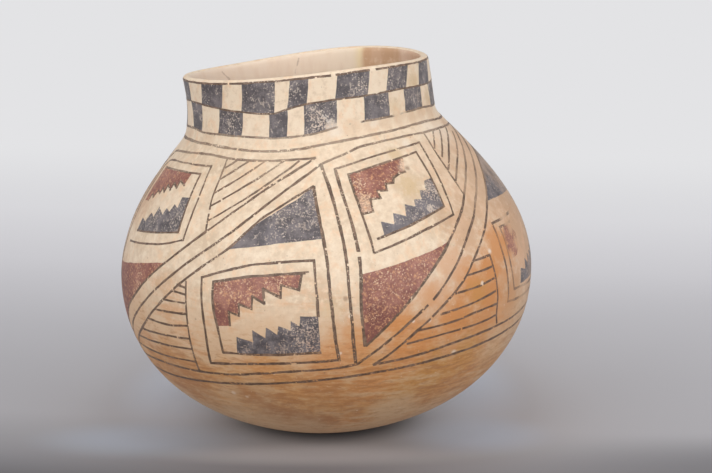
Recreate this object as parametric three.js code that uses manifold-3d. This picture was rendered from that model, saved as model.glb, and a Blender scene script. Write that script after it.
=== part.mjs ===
// A painted storage jar built by hand: a moulded base bowl, wall coils laid one on another with
// bevelled joints, a neck coil and a rim coil. Millimetres, +Z up, origin at the centre of the
// worn face that the jar stands on. The jar leans towards -X, as it settled before firing.
import * as THREE from "three";
import { mergeVertices } from "three/addons/utils/BufferGeometryUtils.js";
import Module from "manifold-3d";

const wasm = await Module();
wasm.setup();

// The wall line: the outside of the jar, from the unworn foot up its own axis
const BELLY_RADIUS = 104.7;
const BELLY_HEIGHT = 82.1;
const FOOT_SPREAD = 52.4; // how far out the round of the base stays nearly flat
const UNDERBELLY_UPRIGHT_LENGTH = 54.3; // how far below the belly the wall stays nearly upright
const SHOULDER_UPRIGHT_LENGTH = 30.4; // the same, above the belly
const SHOULDER_RUN = 23.7; // length of the shoulder's straightest stretch
const SHOULDER_ANGLE = THREE.MathUtils.degToRad(49.4);
const NECK_FOOT_RADIUS = 63;
const NECK_FOOT_HEIGHT = 157.3;
const NECK_BEND_LENGTH = 7; // length over which the shoulder turns up into the neck
const NECK_LENGTH = 28.5;
const MOUTH_RADIUS = 61.2;

// Wall thickness, measured square to the outside
const BASE_WALL = 8;
const BODY_WALL = 5.5;
const LIP_WALL = 4.4;

// Coils, measured along the wall line
const BOWL_REACH = 64; // from the middle of the foot to the edge of the moulded base bowl
const WALL_COILS = 11;
const OCHRE_COILS = 4; // the lowest wall coils, below the cream slip
const NECK_COIL = 15; // height of the neck coil; the rim coil takes what is left
const SCARF = 6; // how far the inner edge of a joint lies below its outer edge
const SEAM = 0.3; // clear gap between two coils

// How the jar left its true round shape while the clay was soft
const LEAN = THREE.MathUtils.degToRad(2.84);
const TRUE_HEIGHT = 103; // up to here every ring is level and centred on the axis
const SETTLE_RUN = 43; // height over which the rings above tip and shift
const RING_TIP = THREE.MathUtils.degToRad(2.7);
const SHOULDER_SHIFT = -3.9;
const MOUTH_SHIFT = -1.3;
const NECK_BOW = 1.2; // how far the middle of the neck stands over towards +X

// The worn flat that the jar stands on
const REST_WEAR = 2;

// Facets
const ROUND_STEPS = 60;
const COIL_STEPS = 2;
const BOWL_STEPS = 7;
const LIP_STEPS = 5;
const SCAN_STEPS = 2000;

const wallLine = new THREE.Path();
wallLine.moveTo(0, 0);
wallLine.bezierCurveTo(
  FOOT_SPREAD, 0,
  BELLY_RADIUS, BELLY_HEIGHT - UNDERBELLY_UPRIGHT_LENGTH,
  BELLY_RADIUS, BELLY_HEIGHT,
);
const halfBend = NECK_BEND_LENGTH / 2;
const shoulderEnd = new THREE.Vector2(
  NECK_FOOT_RADIUS + halfBend * Math.cos(SHOULDER_ANGLE),
  NECK_FOOT_HEIGHT - halfBend * Math.sin(SHOULDER_ANGLE),
);
wallLine.bezierCurveTo(
  BELLY_RADIUS, BELLY_HEIGHT + SHOULDER_UPRIGHT_LENGTH,
  shoulderEnd.x + SHOULDER_RUN * Math.cos(SHOULDER_ANGLE),
  shoulderEnd.y - SHOULDER_RUN * Math.sin(SHOULDER_ANGLE),
  shoulderEnd.x, shoulderEnd.y,
);
wallLine.quadraticCurveTo(
  NECK_FOOT_RADIUS, NECK_FOOT_HEIGHT,
  NECK_FOOT_RADIUS, NECK_FOOT_HEIGHT + halfBend,
);
wallLine.lineTo(MOUTH_RADIUS, NECK_FOOT_HEIGHT + NECK_LENGTH);

const LINE_LENGTH = wallLine.getLength();
const NECK_START = LINE_LENGTH - NECK_LENGTH;

// Wall thickness at a distance along the wall line
function wallAt(along) {
  if (along < BOWL_REACH) {
    return THREE.MathUtils.lerp(BASE_WALL, BODY_WALL, along / BOWL_REACH);
  }
  const up = Math.max(0, along - NECK_START) / NECK_LENGTH;
  return THREE.MathUtils.lerp(BODY_WALL, LIP_WALL, up);
}

function outside(along) {
  return wallLine.getPointAt(along / LINE_LENGTH);
}

function inside(along) {
  const tangent = wallLine.getTangentAt(along / LINE_LENGTH);
  const inward = new THREE.Vector2(-tangent.y, tangent.x);
  const point = outside(along).addScaledVector(inward, wallAt(along));
  if (along === 0) point.x = 0; // the middle of the bowl stays on the axis
  return point;
}

// Points from one distance to another along one face of the wall, both ends included
function run(face, from, to, steps) {
  const points = [];
  for (let i = 0; i <= steps; i++) {
    points.push(face(THREE.MathUtils.lerp(from, to, i / steps)));
  }
  return points;
}

// Half the gap of a bevelled joint, as a distance along the wall
function halfSeam(along) {
  const wall = wallAt(along);
  return (0.5 * SEAM * Math.hypot(wall, SCARF)) / wall;
}

// A round edge over the top of the wall, from its outside to its inside
function lipRound(along) {
  const outer = outside(along);
  const inner = inside(along);
  const middle = outer.clone().lerp(inner, 0.5);
  const across = outer.clone().sub(middle);
  const up = wallLine.getTangentAt(along / LINE_LENGTH).multiplyScalar(across.length());
  const points = [];
  for (let i = 1; i < LIP_STEPS; i++) {
    const angle = (Math.PI * i) / LIP_STEPS;
    points.push(
      middle.clone().addScaledVector(across, Math.cos(angle)).addScaledVector(up, Math.sin(angle)),
    );
  }
  return points;
}

// A height on the jar's own axis at which its rings have tipped and shifted, from 0 to 1
function settled(height) {
  return THREE.MathUtils.smoothstep(height, TRUE_HEIGHT, TRUE_HEIGHT + SETTLE_RUN);
}

// Moves each point of a turned shape to where the soft clay settled
function settle(geometry) {
  const position = geometry.attributes.position;
  const neckTop = NECK_FOOT_HEIGHT + NECK_LENGTH;
  for (let i = 0; i < position.count; i++) {
    const x = position.getX(i);
    const z = position.getZ(i);
    const amount = settled(z);
    const upNeck = Math.max(0, z - NECK_FOOT_HEIGHT) / (neckTop - NECK_FOOT_HEIGHT);
    const bow = NECK_BOW * Math.sin(Math.PI * upNeck);
    position.setX(i, x + SHOULDER_SHIFT * amount + MOUTH_SHIFT * upNeck + bow);
    position.setZ(i, z + Math.tan(RING_TIP) * x * amount);
  }
  return geometry;
}

// Turns a section about the jar's axis into a ring or bowl
function turned(section) {
  const geometry = new THREE.LatheGeometry(section, ROUND_STEPS);
  geometry.rotateX(Math.PI / 2);
  return settle(geometry);
}

// A ring between two joints, each bevelled down towards the inside
function coil(from, to) {
  const low = halfSeam(from);
  const high = halfSeam(to);
  const section = [
    ...run(outside, from + low, to - high, COIL_STEPS),
    ...run(inside, to - SCARF - high, from - SCARF + low, COIL_STEPS),
  ];
  section.push(section[0].clone());
  return turned(section);
}

// The last ring, whose top is the lip
function rim(from) {
  const low = halfSeam(from);
  const top = LINE_LENGTH - LIP_WALL / 2;
  const section = [
    ...run(outside, from + low, top, COIL_STEPS),
    ...lipRound(top),
    ...run(inside, top, from - SCARF + low, COIL_STEPS),
  ];
  section.push(section[0].clone());
  return turned(section);
}

// The moulded bowl that the first coil is laid on
function bowl(to) {
  const high = halfSeam(to);
  return turned([
    ...run(outside, 0, to - high, BOWL_STEPS),
    ...run(inside, to - SCARF - high, 0, BOWL_STEPS),
  ]);
}

// Where the leaning wall line meets a level, as the distance out on one side; side is -1 or 1
function leaningPoint(along, side) {
  const point = outside(along);
  const x = side * point.x;
  return {
    x: x * Math.cos(LEAN) - point.y * Math.sin(LEAN),
    z: x * Math.sin(LEAN) + point.y * Math.cos(LEAN),
  };
}

// The level of the worn face and its middle, before the jar is stood on it
function restingFace() {
  const underside = [];
  for (let i = 0; i <= SCAN_STEPS; i++) {
    const along = (BOWL_REACH * i) / SCAN_STEPS;
    underside.push(leaningPoint(along, -1), leaningPoint(along, 1));
  }
  const level = Math.min(...underside.map((point) => point.z)) + REST_WEAR;
  const worn = underside.filter((point) => point.z < level).map((point) => point.x);
  return { level, middle: (Math.min(...worn) + Math.max(...worn)) / 2 };
}

// A closed geometry as a solid that can be cut
function solid(geometry) {
  const bare = geometry.clone();
  bare.deleteAttribute("normal");
  bare.deleteAttribute("uv");
  const merged = mergeVertices(bare);
  return new wasm.Manifold(
    new wasm.Mesh({
      numProp: 3,
      vertProperties: merged.attributes.position.array,
      triVerts: new Uint32Array(merged.index.array),
    }),
  );
}

function geometryOf(cutSolid) {
  const mesh = cutSolid.getMesh();
  const geometry = new THREE.BufferGeometry();
  geometry.setAttribute("position", new THREE.BufferAttribute(mesh.vertProperties, 3));
  geometry.setIndex(new THREE.BufferAttribute(mesh.triVerts, 1));
  geometry.computeVertexNormals();
  return geometry;
}

// Takes off what lies below the ground, which is level in the world and tilted for the jar
function wornFlat(geometry, jarMatrix) {
  const depth = 4 * REST_WEAR;
  const ground = new THREE.BoxGeometry(3 * BOWL_REACH, 3 * BOWL_REACH, depth);
  ground.translate(0, 0, -depth / 2);
  ground.applyMatrix4(jarMatrix.clone().invert());
  return geometryOf(solid(geometry).subtract(solid(ground)));
}

function creamSlip() {
  return new THREE.MeshStandardMaterial({ color: 0xdcc6a2, roughness: 0.55, metalness: 0 });
}

function ochreSlip() {
  return new THREE.MeshStandardMaterial({ color: 0xb9875a, roughness: 0.6, metalness: 0 });
}

function bareClay() {
  return new THREE.MeshStandardMaterial({ color: 0x96795d, roughness: 0.7, metalness: 0 });
}

const jar = new THREE.Group();
jar.name = "jar";
jar.rotation.y = -LEAN;
const face = restingFace();
jar.position.set(-face.middle, 0, -face.level);
jar.updateMatrixWorld(true);

function addPiece(name, geometry, material) {
  const mesh = new THREE.Mesh(geometry, material);
  mesh.name = name;
  jar.add(mesh);
}

addPiece("base_bowl", wornFlat(bowl(BOWL_REACH), jar.matrixWorld), bareClay());

const coilPitch = (NECK_START - BOWL_REACH) / WALL_COILS;
for (let i = 0; i < WALL_COILS; i++) {
  const from = BOWL_REACH + i * coilPitch;
  const material = i < OCHRE_COILS ? ochreSlip() : creamSlip();
  addPiece("wall_coil_" + String(i + 1).padStart(2, "0"), coil(from, from + coilPitch), material);
}

addPiece("neck_coil", coil(NECK_START, NECK_START + NECK_COIL), creamSlip());
addPiece("rim_coil", rim(NECK_START + NECK_COIL), creamSlip());

const vessel = new THREE.Group();
vessel.add(jar);

export default vessel;
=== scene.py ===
import bisect
import math

import bmesh
import bpy
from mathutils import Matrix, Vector, noise
from mathutils.geometry import interpolate_bezier


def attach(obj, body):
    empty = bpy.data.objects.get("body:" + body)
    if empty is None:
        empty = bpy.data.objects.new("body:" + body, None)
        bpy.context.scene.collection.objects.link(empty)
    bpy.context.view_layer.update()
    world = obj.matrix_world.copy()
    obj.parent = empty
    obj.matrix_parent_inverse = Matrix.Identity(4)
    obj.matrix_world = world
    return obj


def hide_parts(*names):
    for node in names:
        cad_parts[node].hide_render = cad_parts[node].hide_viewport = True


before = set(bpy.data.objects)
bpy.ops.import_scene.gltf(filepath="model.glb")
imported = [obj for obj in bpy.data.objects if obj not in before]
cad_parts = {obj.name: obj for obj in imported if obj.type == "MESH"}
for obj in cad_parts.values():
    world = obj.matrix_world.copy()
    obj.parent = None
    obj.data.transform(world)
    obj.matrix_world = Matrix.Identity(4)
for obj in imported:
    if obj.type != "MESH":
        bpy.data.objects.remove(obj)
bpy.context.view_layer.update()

# The finish of a painted storage jar: one scraped and burnished wall over the coils, and the
# painter's thin layers of black and red on it. Sizes are millimetres until a mesh is finished.
# A place on the wall is (around, along): degrees round from the front towards +X, and
# millimetres up the outside of the wall from the middle of the foot.
MM = 0.001

# The wall line, as in the part's source
BELLY_RADIUS = 104.7
BELLY_HEIGHT = 82.1
FOOT_SPREAD = 52.4
UNDERBELLY_UPRIGHT_LENGTH = 54.3
SHOULDER_UPRIGHT_LENGTH = 30.4
SHOULDER_RUN = 23.7
SHOULDER_ANGLE = math.radians(49.4)
NECK_FOOT_RADIUS = 63
NECK_FOOT_HEIGHT = 157.3
NECK_BEND_LENGTH = 7
BEND_PULL = 2 / 3
NECK_LENGTH = 28.5
MOUTH_RADIUS = 61.2

# Wall thickness, as in the part's source
BASE_WALL = 8
BODY_WALL = 5.5
LIP_WALL = 4.4
BOWL_REACH = 64

# How the soft jar settled, as in the part's source
LEAN = math.radians(2.84)
TRUE_HEIGHT = 103
SETTLE_RUN = 43
RING_TIP = math.radians(2.7)
SHOULDER_SHIFT = -3.9
REST_WEAR = 2

# The neck, which leans over a little, is drawn in at its middle and opens again at the lip
MOUTH_SHIFT = -1.3
NECK_BOW = 0.9
NECK_WAIST = 0.6
LIP_FLARE = 0.5

# The rim, which the potter's hand left wavy: waves once round, each with its height and its turn
RIM_RISE = 0.8
RIM_WAVES = [(1, 0.6, 11), (2, 0.7, 45), (3, 0.7, -99)]

# The hand-made surface: shallow dents and level scraping marks, always inwards
DENT_DEPTH = 0.7
DENT_SPAN = 38
SCRAPE_DEPTH = 0.12
SCRAPE_SPAN = Vector((55, 55, 11))

# Mesh steps
ROUND_STEPS = 256
WALL_STEP = 2.2
BEND_STEP = 0.8
LIP_STEPS = 10
LINE_DETAIL = 300
BEND_MARGIN = 1
MERGE_DISTANCE = 1e-4
NOTHING = 1e-9

# Share of the lip's thickness, from its outside, beyond which a face counts as the inside
LIP_TURN = 0.8

# Paint layers: how far each stands out of the wall, and how deep its underside lies in it
RED_LIFT = 0.04
FILL_LIFT = 0.05
LINE_LIFT = 0.065
PAINT_ROOT = -0.02
CELL_AROUND = 1.5
CELL_UP = 2.4
CELL_LIP = 0.5


def wall_line():
    """The outside of the wall as close points (distance from the axis, height), foot to mouth."""
    half_bend = NECK_BEND_LENGTH / 2
    downhill = Vector((math.cos(SHOULDER_ANGLE), -math.sin(SHOULDER_ANGLE)))
    belly = Vector((BELLY_RADIUS, BELLY_HEIGHT))
    crease = Vector((NECK_FOOT_RADIUS, NECK_FOOT_HEIGHT))
    shoulder_end = crease + half_bend * downhill
    neck_start = crease + Vector((0, half_bend))
    below = interpolate_bezier(
        Vector((0, 0)),
        Vector((FOOT_SPREAD, 0)),
        belly - Vector((0, UNDERBELLY_UPRIGHT_LENGTH)),
        belly,
        LINE_DETAIL,
    )
    above = interpolate_bezier(
        belly,
        belly + Vector((0, SHOULDER_UPRIGHT_LENGTH)),
        shoulder_end + SHOULDER_RUN * downhill,
        shoulder_end,
        LINE_DETAIL,
    )
    bend = interpolate_bezier(
        shoulder_end,
        shoulder_end.lerp(crease, BEND_PULL),
        neck_start.lerp(crease, BEND_PULL),
        neck_start,
        LINE_DETAIL,
    )
    mouth = Vector((MOUTH_RADIUS, NECK_FOOT_HEIGHT + NECK_LENGTH))
    return below + above[1:] + bend[1:] + [mouth]


def distances(points):
    """How far along a line of points each one lies."""
    found = [0.0]
    for before, after in zip(points, points[1:]):
        found.append(found[-1] + (after - before).length)
    return found


LINE = wall_line()
ALONG = distances(LINE)
LINE_LENGTH = ALONG[-1]
NECK_START = LINE_LENGTH - NECK_LENGTH
LIP_START = LINE_LENGTH - LIP_WALL / 2
LIP_ROUND = LIP_WALL / 2 * math.pi


def line_place(along):
    """Point on the wall line and the direction straight out of the wall there."""
    along = min(max(along, 0.0), LINE_LENGTH)
    after = min(max(bisect.bisect_right(ALONG, along), 1), len(LINE) - 1)
    start, end = LINE[after - 1], LINE[after]
    share = (along - ALONG[after - 1]) / (ALONG[after] - ALONG[after - 1])
    way = (end - start).normalized()
    return start.lerp(end, share), Vector((way.y, -way.x))


def wall_at(along):
    """Wall thickness, square to the outside."""
    if along < BOWL_REACH:
        return BASE_WALL + (BODY_WALL - BASE_WALL) * along / BOWL_REACH
    up = max(0.0, along - NECK_START) / NECK_LENGTH
    return BODY_WALL + (LIP_WALL - BODY_WALL) * up


def section(along, depth=0.0):
    """Point of the wall's section at a depth below the outside; past LIP_START, over the lip."""
    if along <= LIP_START:
        point, out = line_place(along)
        return point - depth * out
    point, out = line_place(LIP_START)
    rise = Vector((-out.y, out.x))
    radius = LIP_WALL / 2
    angle = (along - LIP_START) / radius
    middle = point - radius * out
    return middle + (radius - depth) * (out * math.cos(angle) + rise * math.sin(angle))


def leaned(x, z):
    """A point of the jar's middle plane, once the jar leans."""
    return x * math.cos(LEAN) - z * math.sin(LEAN), x * math.sin(LEAN) + z * math.cos(LEAN)


def resting_face():
    """Level and middle of the worn face, as in the part's source."""
    bowl = [point for point, along in zip(LINE, ALONG) if along < BOWL_REACH]
    underside = [leaned(side * point.x, point.y) for point in bowl for side in (-1, 1)]
    level = min(z for x, z in underside) + REST_WEAR
    worn = [x for x, z in underside if z < level]
    return level, (min(worn) + max(worn)) / 2


REST_LEVEL, REST_MIDDLE = resting_face()


def hollow(place):
    """A smooth share from 0 to 1 that depends on the place alone."""
    return 0.5 + 0.5 * noise.noise(place)


def settled_at(height):
    """How far the rings at a height have tipped and shifted, from 0 to 1."""
    share = min(max((height - TRUE_HEIGHT) / SETTLE_RUN, 0), 1)
    return share * share * (3 - 2 * share)


def rim_rise(point):
    """How much the wavy rim stands above its level ring."""
    around = math.atan2(point.x, -point.y)
    waves = [height * math.cos(n * around + math.radians(turn)) for n, height, turn in RIM_WAVES]
    return RIM_RISE + sum(waves)


def formed(point):
    """Takes a point of the true round jar to where the hand-made, settled, leaning jar has it."""
    scraped = Vector(p / span for p, span in zip(point, SCRAPE_SPAN))
    dent = DENT_DEPTH * hollow(point / DENT_SPAN) + SCRAPE_DEPTH * hollow(scraped)
    pinch = 1 - dent / BELLY_RADIUS
    settled = settled_at(point.z)
    up_neck = max(0, point.z - NECK_FOOT_HEIGHT) / NECK_LENGTH
    pinch -= NECK_WAIST / MOUTH_RADIUS * math.sin(math.pi * min(up_neck, 1))
    pinch += LIP_FLARE / MOUTH_RADIUS * up_neck ** 2
    x = point.x * pinch + SHOULDER_SHIFT * settled + MOUTH_SHIFT * up_neck
    x += NECK_BOW * math.sin(math.pi * up_neck)
    z = point.z + math.tan(RING_TIP) * point.x * settled + rim_rise(point) * up_neck ** 3
    x, z = leaned(x, z)
    return Vector((x - REST_MIDDLE, point.y * pinch, z - REST_LEVEL))


def on_wall(around, along, lift=0.0):
    """A place on the wall as a finished point, lifted straight out of the wall."""
    point = section(along, -lift)
    turn = math.radians(around)
    return formed(Vector((point.x * math.sin(turn), -point.x * math.cos(turn), point.y)))


# Pieces

def finished(bm, name, *materials):
    """Makes the object from a bmesh in millimetres."""
    for vertex in bm.verts:
        vertex.co *= MM
    mesh = bpy.data.meshes.new(name)
    bm.to_mesh(mesh)
    bm.free()
    piece = bpy.data.objects.new(name, mesh)
    bpy.context.scene.collection.objects.link(piece)
    for material in materials:
        mesh.materials.append(material)
    return piece


def spaced(start, end, step):
    """Even values from start to end, no more than a step apart."""
    count = max(1, math.ceil(abs(end - start) / step))
    return [start + (end - start) * i / count for i in range(count + 1)]


def wall_section():
    """Outline of the wall: up the outside, over the lip, down the inside, both ends on the axis."""
    bend_low, bend_high = NECK_START - NECK_BEND_LENGTH, NECK_START + BEND_MARGIN
    outside = spaced(0, bend_low, WALL_STEP)
    outside += spaced(bend_low, bend_high, BEND_STEP)[1:]
    outside += spaced(bend_high, LIP_START, WALL_STEP)[1:]
    lip = spaced(LIP_START, LIP_START + LIP_ROUND, LIP_ROUND / LIP_STEPS)[1:-1]
    outer = [section(along) for along in outside + lip]
    inner = [section(along, wall_at(along)) for along in reversed(outside)]
    inner[-1].x = 0
    return outer + inner


def faces_inside(face):
    """Whether a face of the round wall looks into the jar."""
    middle = face.calc_center_median()
    if middle.z > NECK_FOOT_HEIGHT:
        return math.hypot(middle.x, middle.y) < MOUTH_RADIUS - LIP_WALL * LIP_TURN
    to_heart = Vector((-middle.x, -middle.y, BELLY_HEIGHT - middle.z))
    return face.normal.dot(to_heart) > 0


def jar_wall(outside_finish, inside_finish):
    """The whole wall as one closed shell, cut level where the jar stands."""
    bm = bmesh.new()
    points = [bm.verts.new((p.x, 0, p.y)) for p in wall_section()]
    edges = [bm.edges.new(pair) for pair in zip(points, points[1:])]
    bmesh.ops.spin(
        bm,
        geom=points + edges,
        axis=(0, 0, 1),
        cent=(0, 0, 0),
        angle=math.tau,
        steps=ROUND_STEPS,
        use_merge=True,
    )
    bmesh.ops.remove_doubles(bm, verts=bm.verts, dist=MERGE_DISTANCE)
    bmesh.ops.recalc_face_normals(bm, faces=bm.faces)
    for face in bm.faces:
        face.material_index = int(faces_inside(face))
        face.smooth = True
    for vertex in bm.verts:
        vertex.co = formed(vertex.co)
    bmesh.ops.bisect_plane(
        bm,
        geom=bm.verts[:] + bm.edges[:] + bm.faces[:],
        plane_co=(0, 0, 0),
        plane_no=(0, 0, 1),
        clear_inner=True,
    )
    cut = [edge for edge in bm.edges if edge.is_boundary]
    worn = bmesh.ops.holes_fill(bm, edges=cut)["faces"]
    for face in worn:
        face.smooth = False
    for edge in cut:
        edge.smooth = False
    return finished(bm, "jar_wall", outside_finish, inside_finish)


# Brush work. A layer of paint is drawn flat on the unrolled wall, with x in degrees around and
# y in millimetres along, is given its thickness there, and is then wrapped onto the wall.
BRUSH_STEP = 1.1
BRUSH_WANDER = 0.2
BRUSH_PRESSURE = 0.28
BRUSH_TIP = 0.35  # how far a stroke's ends reach on, in shares of its width
EDGE_STEP = 2
EDGE_WANDER = 0.25
STRAIGHT_STEPS = 20
CURVE_STEPS = 12
ROUND_THE_BELLY = 1.7  # about the millimetres in one degree around

# What makes the work unsteady: the size of each wander in millimetres, and where its noise starts
NICKS = (1.3, 6.2)
NICKS_DRIFT = (11, 2.9)
FLAKE_EDGE = (1.5, 4.4)
SLOW_PRESSURE = (9, 3.3)
QUICK_PRESSURE = (3, 8.1)
STROKE_SWAY = (7, 5.7)
EDGE_SIDEWAYS = (4, 1.9)
EDGE_UPWARDS = (4, 7.7)

# Where flakes of paint have come off the lines: around, along, radius
FLAKES = [
    (14, 263.5, 1.5), (33, 263.5, 1.4), (-31, 233, 0.9), (-47, 235, 0.6), (54, 219, 0.8),
    (64, 212, 0.7), (-20.5, 217, 0.5), (-11.5, 214.5, 0.6), (16, 227, 0.5), (-30.5, 205.5, 0.7),
    (-34, 198.5, 1.1), (-40.5, 207, 0.5), (10.5, 176, 0.9), (2, 147, 0.7), (-1.5, 158, 0.6),
    (-42.5, 134.5, 0.6), (46, 152.5, 1), (28.5, 150, 1.6), (28.5, 142.3, 1), (38.5, 133, 0.8),
    (31, 118, 1), (40, 179.5, 0.6), (36, 223.5, 0.9), (88, 215, 1),
]
FLAKE_RAGGED = 0.35
NICKS_DRIFTING = 0.3
NICKS_ABOVE = 0.6  # the higher, the rarer the nicks in the lines


def degree_length(along):
    """Millimetres in one degree around, at a place along the wall."""
    return math.radians(max(section(along).x, 1))


def stations(points):
    """Even places on a smooth line through points, each with its direction in millimetres."""
    places = [Vector(p) for p in points]
    if len(places) == 2:
        steps = range(STRAIGHT_STEPS + 1)
        fine = [places[0].lerp(places[1], i / STRAIGHT_STEPS) for i in steps]
    else:
        fine = [places[0]]
        for i in range(len(places) - 1):
            start, end = places[i], places[i + 1]
            before = places[max(i - 1, 0)]
            after = places[min(i + 2, len(places) - 1)]
            reach = (end - start).length / 3
            leaving = start + (end - before).normalized() * reach
            arriving = end - (after - start).normalized() * reach
            fine += interpolate_bezier(start, leaving, arriving, end, CURVE_STEPS)[1:]
    sizes = []
    for here, there in zip(fine, fine[1:]):
        scale = degree_length((here.y + there.y) / 2)
        sizes.append(Vector(((there.x - here.x) * scale, there.y - here.y)))
    marks = [0.0]
    for size in sizes:
        marks.append(marks[-1] + size.length)
    count = max(2, round(marks[-1] / BRUSH_STEP))
    found = []
    for i in range(count + 1):
        mark = marks[-1] * i / count
        j = min(max(bisect.bisect_right(marks, mark), 1), len(marks) - 1)
        share = (mark - marks[j - 1]) / max(marks[j] - marks[j - 1], NOTHING)
        found.append((fine[j - 1].lerp(fine[j], share), sizes[j - 1].normalized()))
    return found


def unsteady(place, size, seed):
    """A smooth wander between -1 and 1 that depends on the place alone."""
    return noise.noise(Vector((place.x * ROUND_THE_BELLY / size, place.y / size, seed)))


def flaked(place):
    """Whether the paint of a line has come off at a place."""
    nicked = unsteady(place, *NICKS) + NICKS_DRIFTING * unsteady(place, *NICKS_DRIFT)
    if nicked > NICKS_ABOVE:
        return True
    ragged = FLAKE_RAGGED * unsteady(place, *FLAKE_EDGE)
    for around, along, radius in FLAKES:
        across = (place.x - around) * degree_length(along)
        if math.hypot(across, place.y - along) < radius * (1 + ragged):
            return True
    return False


def brushed(bm, points, width):
    """One brush line, as a ribbon two quads wide, a little uneven as a hand leaves it."""
    line = stations(points)
    count = len(line) - 1
    grid = bmesh.ops.create_grid(bm, x_segments=count, y_segments=2, size=1)["verts"]
    for vertex in grid:
        place, way = line[round((vertex.co.x + 1) / 2 * count)]
        across = Vector((-way.y, way.x))
        uneven = unsteady(place, *SLOW_PRESSURE) + unsteady(place, *QUICK_PRESSURE)
        half = width / 2 * (1 + BRUSH_PRESSURE * uneven)
        offset = BRUSH_WANDER * unsteady(place, *STROKE_SWAY) + vertex.co.y * half
        moved = place + Vector((across.x * offset / degree_length(place.y), across.y * offset))
        if round(abs(vertex.co.x) * count) == count:
            reach = math.copysign(width * BRUSH_TIP, vertex.co.x)
            moved += Vector((way.x * reach / degree_length(place.y), way.y * reach))
        vertex.co = (moved.x, moved.y, 0)
    ribbon = {face for vertex in grid for face in vertex.link_faces}
    lost = [face for face in ribbon if flaked(face.calc_center_median())]
    bmesh.ops.delete(bm, geom=lost, context="FACES")


def filled(bm, outline):
    """One filled shape, its edges a little uneven."""
    face = bm.faces.new([bm.verts.new((x, y, 0)) for x, y in outline])
    for edge in list(face.edges):
        a, b = edge.verts[0].co, edge.verts[1].co
        length = math.hypot((b.x - a.x) * degree_length((a.y + b.y) / 2), b.y - a.y)
        cuts = int(length / EDGE_STEP)
        if cuts:
            bmesh.ops.subdivide_edges(bm, edges=[edge], cuts=cuts)
    for vertex in face.verts:
        place = vertex.co.copy()
        vertex.co.x += EDGE_WANDER * unsteady(place, *EDGE_SIDEWAYS) / degree_length(place.y)
        vertex.co.y += EDGE_WANDER * unsteady(place, *EDGE_UPWARDS)


def cut_into_cells(bm):
    """Cuts flat shapes into cells small enough to bend with the wall, and finer over the lip."""
    cuts = [(1, along) for along in spaced(LIP_START, LIP_START + LIP_ROUND / 2, CELL_LIP)]
    for axis, step in ((0, CELL_AROUND), (1, CELL_UP)):
        places = [vertex.co[axis] for vertex in bm.verts]
        count = range(math.floor(min(places) / step) + 1, math.ceil(max(places) / step))
        cuts += [(axis, i * step) for i in count]
    for axis, place in cuts:
        normal = Vector((0, 0, 0))
        normal[axis] = 1
        bmesh.ops.bisect_plane(
            bm,
            geom=bm.verts[:] + bm.edges[:] + bm.faces[:],
            plane_co=normal * place,
            plane_no=normal,
        )


def layer(bm, name, lift, material):
    """Gives flat paint its thickness, wraps it onto the wall and makes it a piece."""
    top = bmesh.ops.extrude_face_region(bm, geom=bm.faces[:], use_keep_orig=True)["geom"]
    lifted = {item for item in top if isinstance(item, bmesh.types.BMVert)}
    for vertex in bm.verts:
        vertex.co.z = lift if vertex in lifted else PAINT_ROOT
    bmesh.ops.recalc_face_normals(bm, faces=bm.faces)
    for face in bm.faces:
        face.smooth = abs(face.normal.z) > 0.5  # the face of the layer, and not its edge
        if not face.smooth:
            for edge in face.edges:
                edge.smooth = False
    for vertex in bm.verts:
        vertex.co = on_wall(*vertex.co)
    piece = finished(bm, name, material)
    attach(piece, "root")
    return piece


# The design. Its base line stands on a ring that is tipped on the jar, so a shape painted again
# further round rises and falls with the tip, which fades out towards the neck.
TIP_RISE = 7.8
LEVEL_ALONG = 228  # up here the design runs level
TIP_REACH = 108  # and this far below, the tip is at its full rise
RING_STEP = 6


def tip_at(around):
    """How steeply the tip of the design grows, below where it runs level."""
    return TIP_RISE * math.sin(math.radians(around)) / TIP_REACH


def turned(points, turn, up=0):
    """The same shape painted a turn further round, and a little higher."""
    moved = []
    for around, along in points:
        height = along - tip_at(around) * (LEVEL_ALONG - along)
        tip = tip_at(around + turn)
        moved.append((around + turn, (height + tip * LEVEL_ALONG) / (1 + tip) + up))
    return moved


def tipped_ring(height):
    """A ring of the design, once round the jar."""
    return [turned([(0, height)], around)[0] for around in range(0, 361, RING_STEP)]


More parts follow.
